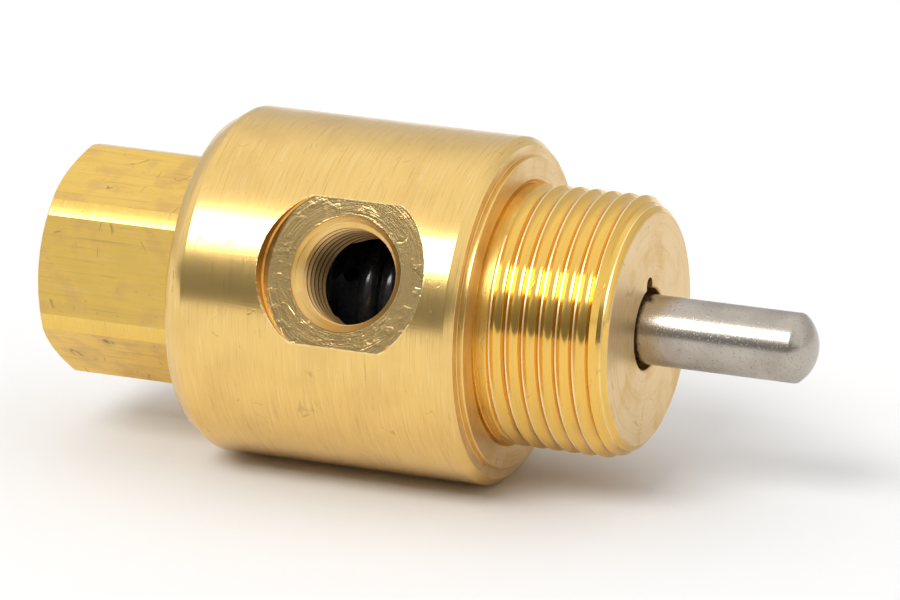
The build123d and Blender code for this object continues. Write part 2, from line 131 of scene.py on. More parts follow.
def drawLine(name, points):
    # a string of edges from one corner of a plane, extruded point by point
    clearSelection()
    bpy.ops.mesh.primitive_plane_add(size=mm, location=(0, 0, 0))
    piece = bpy.context.object
    piece.name = name
    bpy.ops.object.mode_set(mode="EDIT")
    bpy.ops.mesh.select_all(action="SELECT")
    bpy.ops.mesh.merge(type="CENTER")
    bpy.ops.transform.translate(value=(points[0][0], 0, points[0][1]))
    for near, far in zip(points, points[1:]):
        step = (far[0] - near[0], 0, far[1] - near[1])
        bpy.ops.mesh.extrude_vertices_move(TRANSFORM_OT_translate={"value": step})
    bpy.ops.object.mode_set(mode="OBJECT")
    return piece


def turnPiece(name, outline, steps=192):
    # outline: (station, radius) in mm, spun round the valve axis
    piece = drawLine(name, [(station * mm, radius * mm) for station, radius in outline])
    pick(piece)
    bpy.ops.object.mode_set(mode="EDIT")
    bpy.ops.mesh.select_all(action="SELECT")
    bpy.ops.mesh.spin(steps=steps, angle=2 * math.pi, center=(0, 0, 0), axis=(1, 0, 0))
    bpy.ops.object.mode_set(mode="OBJECT")
    piece.location = onAxis(0)
    applyPlace(piece)
    tidyMesh(piece)
    return piece


def screwPiece(name, pitch, outline, turns, steps=128):
    # outline: one pitch of (along, radius) in mm; the thread is right-handed, along X from 0
    piece = drawLine(name, [(along * mm, radius * mm) for along, radius in outline])
    applyModifier(
        piece, "SCREW", axis="X", angle=2 * math.pi, screw_offset=pitch * mm, iterations=turns,
        steps=steps, render_steps=steps, use_merge_vertices=True, merge_threshold=0.001 * mm,
    )
    tidyMesh(piece, 0.002 * mm)
    return piece


def cutEnds(piece, low, high):
    # flat closed ends across X, at low and high in metres
    for place, side in ((low, -1), (high, 1)):
        pick(piece)
        bpy.ops.object.mode_set(mode="EDIT")
        bpy.ops.mesh.select_all(action="SELECT")
        bpy.ops.mesh.bisect(
            plane_co=(place, 0, 0), plane_no=(side, 0, 0), threshold=0.0001 * mm,
            use_fill=True, clear_outer=True, clear_inner=False,
        )
        bpy.ops.object.mode_set(mode="OBJECT")
    tidyMesh(piece, 0.0005 * mm)


def joinWith(piece, tool, how):
    applyModifier(piece, "BOOLEAN", operation=how, object=tool, solver="MANIFOLD")
    bpy.data.objects.remove(tool)


def smoothPiece(piece, angle=30):
    pick(piece)
    bpy.ops.object.shade_smooth_by_angle(angle=math.radians(angle))


def arcPoints(centre, radius, start, end, count):
    # corner points of an arc, angles in degrees from +station towards +radius
    turns = [math.radians(start + (end - start) * i / count) for i in range(count + 1)]
    return [(centre[0] + radius * math.cos(t), centre[1] + radius * math.sin(t)) for t in turns]


# finishes, written as arithmetic on node sockets
class Wire:
    # a value in a node tree; each operator adds a Math node
    def __init__(self, board, socket):
        self.board = board
        self.socket = socket

    def math(self, how, *terms):
        return self.board.node("ShaderNodeMath", {"operation": how}, list(terms))

    def __add__(self, other):
        return self.math("ADD", self, other)

    def __radd__(self, other):
        return self.math("ADD", other, self)

    def __sub__(self, other):
        return self.math("SUBTRACT", self, other)

    def __rsub__(self, other):
        return self.math("SUBTRACT", other, self)

    def __mul__(self, other):
        return self.math("MULTIPLY", self, other)

    def __rmul__(self, other):
        return self.math("MULTIPLY", other, self)

    def __truediv__(self, other):
        return self.math("DIVIDE", self, other)

    def __rtruediv__(self, other):
        return self.math("DIVIDE", other, self)

    def __abs__(self):
        return self.math("ABSOLUTE", self)

    def root(self):
        return self.math("SQRT", self)


class Board:
    # one node tree; node() makes every node in it
    def __init__(self, tree):
        self.tree = tree

    def node(self, kind, settings, inputs, output=0):
        made = self.tree.nodes.new(kind)
        for key, value in settings.items():
            setattr(made, key, value)
        for key, value in enumerate(inputs) if isinstance(inputs, list) else inputs.items():
            if isinstance(value, Wire):
                self.tree.links.new(value.socket, made.inputs[key])
            else:
                made.inputs[key].default_value = value
        return Wire(self, made.outputs[output])

    def split(self, vector):
        return [self.node("ShaderNodeSeparateXYZ", {}, [vector], part) for part in range(3)]

    def ease(self, value, low, high, start=0.0, end=1.0):
        curve = {"interpolation_type": "SMOOTHSTEP"}
        return self.node("ShaderNodeMapRange", curve, [value, low, high, start, end])

    def blend(self, share, first, second):
        return self.node("ShaderNodeMix", {"data_type": "RGBA"}, {0: share, 6: first, 7: second}, 2)

    def ramp(self, value, stops):
        shade = self.node("ShaderNodeValToRGB", {}, [value])
        band = shade.socket.node.color_ramp
        for place, colour in stops[1:-1]:
            band.elements.new(place).color = (*colour, 1)
        for element, (place, colour) in zip((band.elements[0], band.elements[-1]), (stops[0], stops[-1])):
            element.position = place
            element.color = (*colour, 1)
        return shade


class Skin(Board):
    # one material; lengths in it are mm from the valve axis at the front face
    def __init__(self, name, constants):
        self.material = bpy.data.materials.new(name)
        self.material.use_nodes = True
        super().__init__(self.material.node_tree)
        self.shader = self.tree.nodes["Principled BSDF"]
        for key, value in constants.items():
            self.shader.inputs[key].default_value = value
        own = self.node("ShaderNodeTexCoord", {}, {}, "Object")
        self.place = self.node("ShaderNodeMapping", {}, {
            "Vector": own, "Location": (-shoulderX / mm, 0, -axisZ / mm), "Scale": (1 / mm, 1 / mm, 1 / mm),
        })
        self.x, self.y, self.z = self.split(self.place)
        self.radius = (self.y * self.y + self.z * self.z).root()

    def feed(self, socket, wire):
        self.tree.links.new(wire.socket, self.shader.inputs[socket])

    def vector(self, x, y, z):
        return self.node("ShaderNodeCombineXYZ", {}, [x, y, z])

    def noise(self, size, detail=2.0, stretch=(1, 1, 1), place=None, twist=0.0):
        spread = self.node("ShaderNodeMapping", {}, {"Vector": place or self.place, "Scale": stretch})
        return self.node("ShaderNodeTexNoise", {}, {
            "Vector": spread, "Scale": 1 / size, "Detail": detail, "Distortion": twist,
        })

    def aroundPort(self):
        # distance from the port's axis, the two directions across it, and the height along it
        lift = math.radians(portLook["lift"])
        along = self.x - portLook["station"]
        across = self.y * math.sin(lift) + self.z * math.cos(lift)
        height = self.z * math.sin(lift) - self.y * math.cos(lift)
        return (along * along + across * across).root(), along, across, height

    def relief(self, height, depth, strength=1.0, under=None):
        inputs = {"Strength": strength, "Distance": depth * mm, "Height": height}
        if under:
            inputs["Normal"] = under
        return self.node("ShaderNodeBump", {}, inputs)


tones = {
    "brass": (0.86, 0.58, 0.20), "dullBrass": (0.70, 0.45, 0.15), "warmBrass": (0.88, 0.54, 0.12),
    "amber": (0.80, 0.40, 0.07), "hexBrass": (0.86, 0.58, 0.14), "oldBrass": (0.30, 0.19, 0.08),
    "paleBrass": (0.80, 0.59, 0.31), "lightBrass": (0.93, 0.76, 0.42), "oliveBrass": (0.56, 0.40, 0.17),
    "bronze": (0.62, 0.40, 0.22), "steel": (0.49, 0.44, 0.38), "darkSteel": (0.22, 0.19, 0.16),
    # the near-black brown on the next line is painted shade, used deep in the port
    "paintedPortShade": (0.06, 0.03, 0.012), "copperBrass": (0.92, 0.58, 0.24),
}


def solid(name):
    return (*tones[name], 1)


# sizes in mm, shares from 0 to 1; the rim entries shape a painted highlight on the spotface edge
wearAndRimHighlight = {
    "scratchSize": 2.6, "scratchTwist": 0.4, "scratchPatches": 1.7, "scratchRough": 0.1,
    "glintPatches": 1.1, "gritShare": 0.45, "hairShare": 0.7, "bandShare": 0.5, "fadeRough": 0.15,
    "rimWidth": 0.16, "rimSolid": 0.02, "rimDrop": 0.09, "rimTop": 0.01, "rimPatches": 0.4,
    "burrSize": 0.25, "burrHeight": 2,
}


def brassSkin(name, look):
    # marks: "round" the valve axis, "faced" across it, "along" the bar, or "port" round the port
    skin = Skin(name, {"Metallic": 1.0})
    fine, easy = 1.0, look["drift"]  # marks change fast across a line and slowly along it
    reach, along, across, height = skin.aroundPort()
    if look["marks"] == "round":
        grain, streaks = skin.place, (fine, easy, easy)
    elif look["marks"] == "along":
        grain, streaks = skin.place, (easy, fine, fine)
    elif look["marks"] == "faced":
        grain, streaks = skin.vector(skin.radius, skin.y, skin.z), (fine, easy, easy)
    else:
        grain, streaks = skin.vector(reach, along, across), (fine, easy, easy)
    hair = skin.noise(look["fineSize"], 3, streaks, grain)
    band = skin.noise(look["coarseSize"], 2, streaks, grain)
    blotch = skin.noise(look["blotchSize"], 4)
    grit = skin.noise(look["gritSize"], 3)
    stain = skin.ease(blotch, 0.45, 0.72) * look["stain"]
    colour = skin.blend(stain, solid(look["tone"]), solid(look["stainTone"]))
    colour = skin.blend(skin.ease(band, 0.5, 0.75) * look["bandLines"], colour, solid("dullBrass"))
    colour = skin.blend(skin.ease(hair, 0.44, 0.24) * look["lightLines"], colour, solid("lightBrass"))
    colour = skin.blend(skin.ease(hair, 0.56, 0.78) * look["darkLines"], colour, solid("oldBrass"))
    speck = skin.ease(grit, 0.66, 0.76)
    colour = skin.blend(speck * look["specks"], colour, solid("oldBrass"))
    # scratches: short thin pieces of wandering lines
    wander = abs(skin.noise(wearAndRimHighlight["scratchSize"], 1, (1, 0.5, 0.5), twist=wearAndRimHighlight["scratchTwist"]) - 0.5)
    where = skin.ease(skin.noise(wearAndRimHighlight["scratchPatches"], 1), 0.58, 0.66)
    scratch = skin.ease(wander, look["scratchWidth"], 0.0) * where
    colour = skin.blend(scratch * look["scratchTone"], colour, solid("oldBrass"))
    rough = look["roughness"] + (blotch - 0.5) * look["patchy"] + hair * look["hairRough"]
    rough = rough + scratch * wearAndRimHighlight["scratchRough"]
    if look["fadeDepth"]:
        # painted shade: darker down the port, where little light gets
        shade = skin.ease(height, look["fadeFrom"], look["fadeFrom"] - look["fadeDepth"])
        colour = skin.blend(shade * look["fadeShare"], colour, solid("paintedPortShade"))
        rough = rough + shade * wearAndRimHighlight["fadeRough"]
    cut = hair * wearAndRimHighlight["hairShare"] + band * wearAndRimHighlight["bandShare"]
    if look["glints"]:
        bright = skin.ease(skin.noise(wearAndRimHighlight["glintPatches"], 3), 0.50, 0.66)
        cut = cut * (1 + bright * look["glints"]) + grit * wearAndRimHighlight["gritShare"]
    lines = skin.relief(cut, look["depth"])
    surface = 1 - scratch - speck * look["specks"]
    if look["marks"] == "round":
        # painted highlight: a ragged bright edge round the spotface, over bumped burrs
        rim, plane = portLook["spotfaceRadius"], portLook["spotfacePlane"]
        edge = skin.ease(reach, rim + wearAndRimHighlight["rimWidth"], rim + wearAndRimHighlight["rimSolid"])
        edge = edge * skin.ease(height, plane - wearAndRimHighlight["rimDrop"], plane - wearAndRimHighlight["rimTop"])
        edge = edge * skin.ease(skin.noise(wearAndRimHighlight["rimPatches"], 3), 0.40, 0.55)
        colour = skin.blend(edge * look["edgeShine"], colour, solid("lightBrass"))
        surface = surface + edge * skin.noise(wearAndRimHighlight["burrSize"], 3) * wearAndRimHighlight["burrHeight"]
    skin.feed("Base Color", colour)
    skin.feed("Roughness", rough)
    skin.feed("Normal", skin.relief(surface, look["scratchDepth"], 1.0, lines))
    return skin


def brassLook(**changes):
    look = {
        "marks": "round", "tone": "brass", "stainTone": "dullBrass", "stain": 0.4, "darkLines": 0.3,
        "lightLines": 0.35, "bandLines": 0.25, "fineSize": 0.12, "coarseSize": 0.4, "blotchSize": 5.0,
        "gritSize": 0.3, "specks": 0.25, "roughness": 0.16, "hairRough": 0.12, "patchy": 0.16, "depth": 0.008,
        "drift": 0.03, "scratchWidth": 0.012, "scratchDepth": 0.01, "scratchTone": 0.3,
        # the edge share on the next line sets a painted highlight on the spotface rim
        "edgeShine": 0.0, "glints": 0.0,
        # the fade entries set painted shade that darkens the port with depth
        "fadeDepth": 0.0, "fadeFrom": 14.3, "fadeShare": 0.9,
    }
    look.update(changes)
    return look


clear = 1  # mm that a cutter reaches past the metal


# body
bodyLook = {
    "steps": 256,
    "frontChamfer": (0.78, 0.65), "rearChamfer": (1.94, 1.2), "edge": 0.12,
    "bossRadius": 14.25, "bossHeight": 0.6, "recess": 0.25,
    "neckRadius": 11.90625, "neckLength": 12.86, "neckChamfer": 1.4, "endCrest": 0.42,
    "pitch": 1.5875, "threadDepth": 0.55, "crest": 0.15, "crestReach": 0.03, "threadPhase": 0.08,
    "turns": 11, "turnsBehind": 2, "threadStart": -0.2, "threadOver": 0.3, "envelopeStart": -0.5,
    "neckEdge": 0.06, "burr": 0.04, "collarStart": -0.1, "collarEnd": 1.9, "collarRadius": 11.84,
    "collarCorner": 0.2, "collarRunOut": 0.3, "collarSink": 0.1,
    "endCrestWidth": 0.14, "endCrestSlope": 0.5, "endCrestLift": 0.12, "endCrestRise": 0.16,
    "bossFoot": 0.05, "bossEdge": 0.08, "boreZone": 9.5,
    "pinHole": 3.75, "notchWidth": 1.4, "notchReach": 4.85, "notchDrop": 3, "notchOver": 0.3,
    "frontWallInner": 10.6, "chamberRadius": 7.2, "chamberEnd": 4.86, "stackRadius": 7.9375,
    "connectorNose": -21.17, "connectorRadius": 8.45, "sealFloor": -26.3, "sealRadius": 9.2,
}
portLook = {
    "station": -11.14, "lift": 25.0, "spotfaceRadius": 8.0, "spotfacePlane": 14.4, "edge": 0.08,
    "minorRadius": 4.35, "depth": 0.577, "pitch": 0.941, "mouthRadius": 5.25, "lip": 0.9, "innerEnd": 7.0,
    "corner": 0.15, "reach": 4, "turns": 12, "turnsBehind": 3, "tapStart": 1.5, "tapStop": 0.25,
}


def threadOutline(pitch, crest, depth, land, hollow=2.3):
    # one pitch of a worn thread: a narrow crest land, then one broad rounded valley
    points = [(0, crest), (land, crest)]
    for i in range(1, 14):
        share = i / 14
        across = abs(2 * share - 1)  # 1 at the valley's edges, 0 in its middle
        points.append((land + (pitch - land) * share, crest - depth * (1 - across ** hollow)))
    points.append((pitch, crest))
    return points


def buildNeckThread():
    look = bodyLook
    steps, pitch, crest = look["steps"], look["pitch"], look["neckRadius"]
    front, chamfer, edge, burr = look["neckLength"], look["neckChamfer"], look["neckEdge"], look["burr"]
    outline = threadOutline(pitch, crest, look["threadDepth"], look["crest"])
    rod = screwPiece("neckThread", pitch, outline, look["turns"], steps // 2)
    rod.location = onAxis(-look["turnsBehind"] * pitch + look["threadPhase"])
    applyPlace(rod)
    cutEnds(rod, onAxis(look["threadStart"]).x, onAxis(front + look["threadOver"]).x)
    # the plain collar behind the first groove
    start, end, radius = look["collarStart"], look["collarEnd"], look["collarRadius"]
    corner, runOut = look["collarCorner"], look["collarRunOut"]
    collar = turnPiece("neckCollar", [
        (start, 0), (start, radius), (end - corner, radius), (end - corner * 0.4, radius - edge),
        (end + runOut, crest - look["threadDepth"] - look["collarSink"]), (end + runOut, 0),
    ], steps)
    joinWith(rod, collar, "UNION")
    # the end chamfer, with the thin crest that the last groove leaves on it
    ledge = look["endCrest"]
    ledgeRadius = crest - chamfer + ledge + look["endCrestLift"]
    envelope = turnPiece("neckEnvelope", [
        (look["envelopeStart"], 0), (look["envelopeStart"], crest + burr),
        (front - chamfer - burr, crest + burr),
        (front - ledge - look["endCrestSlope"], ledgeRadius + look["endCrestRise"]),
        (front - ledge - look["endCrestWidth"], ledgeRadius), (front - ledge, ledgeRadius),
        (front - edge, crest - chamfer + edge), (front, crest - chamfer - edge), (front, 0),
    ], steps)
    joinWith(rod, envelope, "INTERSECT")
    return rod


def buildBody():
    look = bodyLook
    outer = bodyRadius / mm
    rear = (rearFaceX - shoulderX) / mm
    edge = look["edge"]
    frontAlong, frontIn = look["frontChamfer"]
    rearAlong, rearIn = look["rearChamfer"]
    boss, rise, foot, bossEdge = look["bossRadius"], look["bossHeight"], look["bossFoot"], look["bossEdge"]
    blank = turnPiece("bodyShell", [
        (rear, 0), (rear, outer - rearIn - edge), (rear + edge * 0.8, outer - rearIn),
        (rear + rearAlong - edge, outer - edge * 0.5), (rear + rearAlong + edge * 0.5, outer),
        (-frontAlong - edge * 0.5, outer), (-frontAlong + edge * 0.5, outer - edge * 0.4),
        (-edge * 0.5, outer - frontIn + edge * 0.3), (0, outer - frontIn - edge * 0.4),
        (0, boss + foot), (foot, boss), (rise - bossEdge, boss), (rise, boss - bossEdge),
        (rise, look["neckRadius"] + look["recess"]), (rise - look["recess"], look["neckRadius"] - 0.01),
        (rise - look["recess"], 0),
    ], look["steps"])
    joinWith(blank, buildNeckThread(), "UNION")
    front = look["neckLength"]
    hole = look["pinHole"]
    bore = turnPiece("boreTool", [
        (front + clear, 0), (front + clear, hole + edge), (front, hole + edge), (front - edge, hole),
        (look["frontWallInner"], hole), (look["frontWallInner"], look["chamberRadius"]),
        (look["chamberEnd"], look["chamberRadius"]), (look["chamberEnd"], look["stackRadius"]),
        (look["connectorNose"], look["stackRadius"]), (look["connectorNose"], look["connectorRadius"]),
        (look["sealFloor"], look["connectorRadius"]), (look["sealFloor"], look["sealRadius"]),
        (rear - clear, look["sealRadius"]), (rear - clear, 0),
    ], look["steps"] // 2)
    joinWith(blank, bore, "DIFFERENCE")
    # notch above the pin, with a rounded top
    clearSelection()
    wide = look["notchWidth"]
    halfWay = (front + look["frontWallInner"]) / 2
    bpy.ops.mesh.primitive_cylinder_add(
        vertices=32, radius=wide * mm / 2, depth=(front - look["frontWallInner"] + clear) * mm,
        location=onAxis(halfWay + look["notchOver"], look["notchReach"] - wide / 2, 90),
        rotation=(0, math.pi / 2, 0),
    )
    notch = bpy.context.object
    applyPlace(notch)
    bpy.ops.object.mode_set(mode="EDIT")
    bpy.ops.mesh.select_all(action="DESELECT")
    bpy.ops.object.mode_set(mode="OBJECT")
    middle = axisZ + (look["notchReach"] - wide / 2) * mm
    for vertex in notch.data.vertices:
        vertex.select = vertex.co.z < middle - 0.01 * mm
    bpy.ops.object.mode_set(mode="EDIT")
    bpy.ops.transform.translate(value=(0, 0, -look["notchDrop"] * mm))
    bpy.ops.object.mode_set(mode="OBJECT")
    joinWith(blank, notch, "DIFFERENCE")
    cutPort(blank)
    tidyMesh(blank, 0.0003 * mm)
    smoothPiece(blank, 18)
    return blank


def cutPort(blank):
    port = portLook
    lift = math.radians(port["lift"])
    outward = Vector((0, -math.cos(lift), math.sin(lift)))
    toPort = outward.to_track_quat("X", "Y").to_euler()  # turns +X outwards
    plane, mouth, minor = port["spotfacePlane"], port["mouthRadius"], port["minorRadius"]
    inner, corner, reach, pitch = port["innerEnd"], port["corner"], port["reach"], port["pitch"]
    base = Vector((shoulderX + port["station"] * mm, 0, axisZ))

    def toolAtPort(tool):
        # a tool made along X from the world origin is turned outwards and set on the port's axis
        tool.rotation_euler = toPort
        tool.location = base
        applyPlace(tool)
        return tool

    def turnedTool(name, outline, steps=128):
        tool = drawLine(name, [(a * mm, r * mm) for a, r in outline])
        pick(tool)
        bpy.ops.object.mode_set(mode="EDIT")
        bpy.ops.mesh.select_all(action="SELECT")
        bpy.ops.mesh.spin(steps=steps, angle=2 * math.pi, center=(0, 0, 0), axis=(1, 0, 0))
        bpy.ops.object.mode_set(mode="OBJECT")
        tidyMesh(tool)
        return toolAtPort(tool)

    flat = turnedTool("spotfaceTool", [
        (plane, 0), (plane, port["spotfaceRadius"] - corner), (plane + corner, port["spotfaceRadius"]),
        (plane + reach, port["spotfaceRadius"]), (plane + reach, 0),
    ])
    joinWith(blank, flat, "DIFFERENCE")
    entry = turnedTool("portTool", [
        (inner - reach, 0), (inner - reach, minor), (plane - port["lip"], minor),
        (plane - port["edge"], mouth - port["edge"]), (plane + 0.1, mouth + port["edge"]), (plane + 0.1, 0),
    ])
    joinWith(blank, entry, "DIFFERENCE")
    major = minor + port["depth"]
    outline = [
        (0, minor - 0.3), (0.1 * pitch, minor - 0.02), (0.45 * pitch, major),
        (0.55 * pitch, major), (0.9 * pitch, minor - 0.02), (pitch, minor - 0.3),
    ]
    tap = screwPiece("portTap", pitch, outline, port["turns"], 96)
    tap.location = (inner * mm - port["turnsBehind"] * pitch * mm, 0, 0)
    applyPlace(tap)
    cutEnds(tap, (inner - port["tapStart"]) * mm, (plane - port["tapStop"]) * mm)
    joinWith(blank, toolAtPort(tap), "DIFFERENCE")


bodyShell = buildBody()
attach(bodyShell, "valve_body")
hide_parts("body")
print("body built", len(bodyShell.data.polygons))

bodySkins = {
    # the turned skin carries the painted highlight along the spotface rim
    "turned": brassSkin("bodyTurned", brassLook(depth=0.010, edgeShine=0.8, darkLines=0.4, lightLines=0.5)),
    "faced": brassSkin("bodyFaced", brassLook(
        marks="faced", tone="paleBrass", stain=0.7, blotchSize=3.0, roughness=0.36, depth=0.004,
        darkLines=0.2, lightLines=0.15, bandLines=0.35, specks=0.4, patchy=0.25,
    )),
    "thread": brassSkin("bodyThread", brassLook(
        tone="warmBrass", roughness=0.09, hairRough=0.08, depth=0.0018, stain=0.2, scratchWidth=0.006,
        lightLines=0.15, darkLines=0.2,
    )),
    # painted highlight: crest lands are pale brass so they read as thin bright lines; their grit and streaks
    # are surface texture
    "crest": brassSkin("bodyCrest", brassLook(
        tone="lightBrass", stainTone="brass", roughness=0.26, depth=0.012, gritSize=0.14, specks=0.3,
        lightLines=0.8, darkLines=0.2,
    )),
    "collar": brassSkin("bodyCollar", brassLook(
        tone="warmBrass", stainTone="oldBrass", roughness=0.24, depth=0.014, gritSize=0.16, specks=0.6,
        lightLines=0.8, darkLines=0.5,
    )),
    "spotface": brassSkin("bodySpotface", brassLook(
        marks="port", tone="oliveBrass", stainTone="oldBrass", stain=0.45, roughness=0.12, hairRough=0.08,
        patchy=0.08, depth=0.012, darkLines=0.5, lightLines=0.4, bandLines=0.4, specks=0.1,
        gritSize=0.22, glints=0.8,
    )),
    "spotwall": brassSkin("spotfaceWall", brassLook(
        marks="port", tone="amber", stainTone="oldBrass", roughness=0.22, depth=0.003, specks=0.4,
    )),
    "mouth": brassSkin("portMouth", brassLook(
        marks="port", tone="brass", stainTone="amber", roughness=0.34, depth=0.006,
        specks=0.3, lightLines=0.6,
    )),
    # the port thread carries painted shade that darkens it with depth
    "port": brassSkin("portThread", brassLook(
        marks="port", tone="copperBrass", stainTone="amber", roughness=0.18, depth=0.001, darkLines=0.2,
        lightLines=0.1, fadeDepth=4.5, fadeShare=0.8,
    )),
    "bore": brassSkin("bodyBore", brassLook(tone="brass", stainTone="dullBrass", stain=0.8, roughness=0.3)),
}


facedSlope = 0.85  # above this share of its normal along X, a face lies across the axis


def bodyZone(face):
    port = portLook
    lift = math.radians(port["lift"])
    outward = Vector((0, -math.cos(lift), math.sin(lift)))
    fromPort = face.center - Vector((shoulderX + port["station"] * mm, 0, axisZ))
    height = fromPort.dot(outward) / mm
    reach = (fromPort - outward * fromPort.dot(outward)).length / mm
    station = (face.center.x - shoulderX) / mm
    radial = Vector((0, face.center.y, face.center.z - axisZ))
    radius = radial.length / mm
    cutHere = reach < port["spotfaceRadius"] + 0.02 and radius < bodyRadius / mm - 0.01
    if height > port["spotfacePlane"] - 0.05 and cutHere:
        return "spotface" if face.normal.dot(outward) > 0.9 else "spotwall"
    if height > port["innerEnd"] and reach < port["mouthRadius"] + 0.1 and height < port["spotfacePlane"]:
        return "mouth" if height > port["spotfacePlane"] - port["lip"] else "port"
    if abs(face.normal.x) > facedSlope:
        return "faced"
    if radius < bodyLook["boreZone"] and face.normal.dot(radial) < 0:
        return "bore"
    ledge = bodyLook["neckLength"] - bodyLook["endCrest"]
    if station > bodyLook["collarEnd"]:
        onLedge = ledge - 0.16 < station < ledge + 0.02
        onCrest = radius > bodyLook["neckRadius"] - bodyLook["crestReach"]
        return "crest" if onCrest or onLedge else "thread"
    if station > bodyLook["bossHeight"] - bodyLook["recess"] and radius < bodyLook["neckRadius"] + 0.01:
        return "collar"
    return "turned"


def paint(piece, skins, zone):
    piece.data.materials.clear()
    names = list(skins)
    for name in names:
        piece.data.materials.append(skins[name].material)
    for face in piece.data.polygons:
        face.material_index = names.index(zone(face))


paint(bodyShell, bodySkins, bodyZone)


# hex connector
hexLook = {
    "flats": 19.05, "turn": 12.77, "landRadius": 10.55, "endRadius": 9.5, "endAlong": 0.606,
    "spigotRadius": 8.42, "reliefRadius": 7.75, "boreRadius": 6.4, "boreEnd": -32.91,
    "passageRadius": 3.2, "pocketStart": -34.91, "pocketRadius": 5.35, "pocketEnd": -36.13,
    "grooveRadius": 5.87, "grooveEnd": -36.79, "minorRadius": 5.55, "mouthRadius": 6.9, "pitch": 1.411,
    "boreZone": 9.4, "landZone": 10.3, "turns": 8, "turnsBehind": 2, "threadHeight": 0.61,
}


def buildHex():
    look = hexLook
    front = (rearFaceX - shoulderX) / mm
    rear = (hexRearX - shoulderX) / mm
    clearSelection()
    bpy.ops.mesh.primitive_cylinder_add(
        vertices=6, radius=look["flats"] * mm / 2 / math.cos(math.radians(30)), depth=(front - rear) * mm,
        location=(0, 0, 0), rotation=(0, math.pi / 2, 0),
    )
    bar = bpy.context.object
    bar.name = "hexConnector"
    applyPlace(bar)
    bar.rotation_euler = (math.radians(30 - look["turn"]), 0, 0)
    bar.location = onAxis((front + rear) / 2)
    applyPlace(bar)
    land, end = look["landRadius"], look["endRadius"]
    lands = turnPiece("hexLands", [
        (rear - 0.01, 0), (rear - 0.01, end - 0.06), (rear + 0.05, end + 0.02),
        (rear + look["endAlong"] - 0.06, land - 0.05), (rear + look["endAlong"] + 0.06, land),
        (front - 0.12, land), (front, land - 0.1), (front, 0),
    ])
    joinWith(bar, lands, "INTERSECT")
    nose, floor = bodyLook["connectorNose"] - 0.03, bodyLook["sealFloor"]
    spigot = turnPiece("hexSpigot", [
        (front - clear, 0), (front - clear, look["reliefRadius"]), (floor, look["reliefRadius"]),
        (floor, look["spigotRadius"]), (nose - 0.6, look["spigotRadius"]),
        (nose, look["spigotRadius"] - 0.6), (nose, 0),
    ])
    joinWith(bar, spigot, "UNION")
    minor, mouth = look["minorRadius"], look["mouthRadius"]
    bore = turnPiece("hexBore", [
        (nose + clear, 0), (nose + clear, look["boreRadius"]), (look["boreEnd"], look["boreRadius"]),
        (look["boreEnd"], look["passageRadius"]), (look["pocketStart"], look["passageRadius"]),
        (look["pocketStart"], look["pocketRadius"]), (look["pocketEnd"], look["pocketRadius"]),
        (look["pocketEnd"], look["grooveRadius"]), (look["grooveEnd"], look["grooveRadius"]),
        (look["grooveEnd"], minor), (rear + mouth - minor, minor), (rear + 0.1, mouth - 0.1),
        (rear - 0.1, mouth + 0.1), (rear - 0.1, 0),
    ], 128)
    joinWith(bar, bore, "DIFFERENCE")
    pitch = look["pitch"]
    major = minor + look["threadHeight"] * pitch
    outline = [
        (0, minor - 0.3), (0.08 * pitch, minor - 0.02), (0.45 * pitch, major),
        (0.55 * pitch, major), (0.92 * pitch, minor - 0.02), (pitch, minor - 0.3),
    ]
    tap = screwPiece("inletTap", pitch, outline, look["turns"], 96)
    tap.location = onAxis(rear - look["turnsBehind"] * pitch)
    applyPlace(tap)
    cutEnds(tap, onAxis(rear - 0.5).x, onAxis(look["grooveEnd"] - 0.6).x)
    joinWith(bar, tap, "DIFFERENCE")
    tidyMesh(bar, 0.0003 * mm)
    smoothPiece(bar, 20)
    return bar


def hexZone(face):
    radial = Vector((0, face.center.y, face.center.z - axisZ))
    radius = radial.length / mm
    station = (face.center.x - shoulderX) / mm
    acrossAxis = abs(face.normal.x) > facedSlope
    if radius < hexLook["boreZone"] and not acrossAxis and face.normal.dot(radial) < 0:
        return "bore"
    if acrossAxis:
        return "faced"
    turned = abs(face.normal.dot(radial.normalized())) > 0.9995 or abs(face.normal.x) > 0.1
    return "lands" if turned and station < -bodyDepth and radius > hexLook["landZone"] else "flats"


hexBar = buildHex()
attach(hexBar, "valve_body")
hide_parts("connector")
hexSkins = {
    "flats": brassSkin("hexFlats", brassLook(
        marks="along", tone="hexBrass", stainTone="dullBrass", stain=0.75, blotchSize=2.6,
        fineSize=0.2, coarseSize=0.8, roughness=0.40, depth=0.012, darkLines=0.35, bandLines=0.45,
        scratchWidth=0.018, scratchTone=0.7, specks=0.45,
    )),
    "lands": brassSkin("hexLandsSkin", brassLook(
        tone="hexBrass", roughness=0.15, depth=0.008, fineSize=0.1, lightLines=0.7, darkLines=0.4,
    )),
    "faced": brassSkin("hexFaced", brassLook(marks="faced", tone="hexBrass", roughness=0.26, depth=0.005)),
    "bore": brassSkin("hexBoreSkin", brassLook(
        tone="dullBrass", stainTone="oldBrass", stain=0.6, roughness=0.25,
    )),
}
paint(hexBar, hexSkins, hexZone)
print("hex connector built", len(hexBar.data.polygons))


# push pin
pinLook = {
    "radius": 3.175, "domeHeight": 1.6, "tenonRadius": 1.75, "tenonRear": -4.57, "shoulder": 1.43,
    "grooveRadius": 2.675, "grooveRear": 9.86, "grooveFront": 10.6, "domeEdge": 0.1,
}


